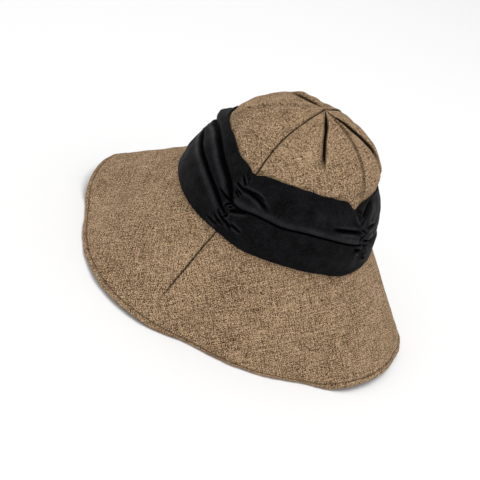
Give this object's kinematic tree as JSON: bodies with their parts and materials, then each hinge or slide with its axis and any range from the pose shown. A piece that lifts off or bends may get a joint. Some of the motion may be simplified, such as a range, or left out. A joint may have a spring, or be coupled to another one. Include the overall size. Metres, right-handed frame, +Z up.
{
  "type": "wide-brimmed sun hat with gathered cloth band",
  "caption": "Linen sun hat with a rounded crown pleated to a point, a gathered black cloth band and a wide drooping wavy brim; stands on its brim.",
  "frame": {"origin": "on the floor under the middle of the hat's footprint; the crown's axis stands 5 mm towards -X and 7 mm towards +Y of it", "axes": "+Z up, from the floor to the crown's top; -Y towards the wearer's front; +X towards the wearer's left"},
  "size_m": [0.3022, 0.3408, 0.1946],
  "materials": {
    "linen": "heathered brown linen weave, matt",
    "band_cloth": "black cotton cloth, soft sheen"
  },
  "bodies": {
    "root": {"crown_front": "linen", "crown_back": "linen", "brim_front": "linen", "brim_back": "linen", "band": "band_cloth"}
  },
  "joints": []
}
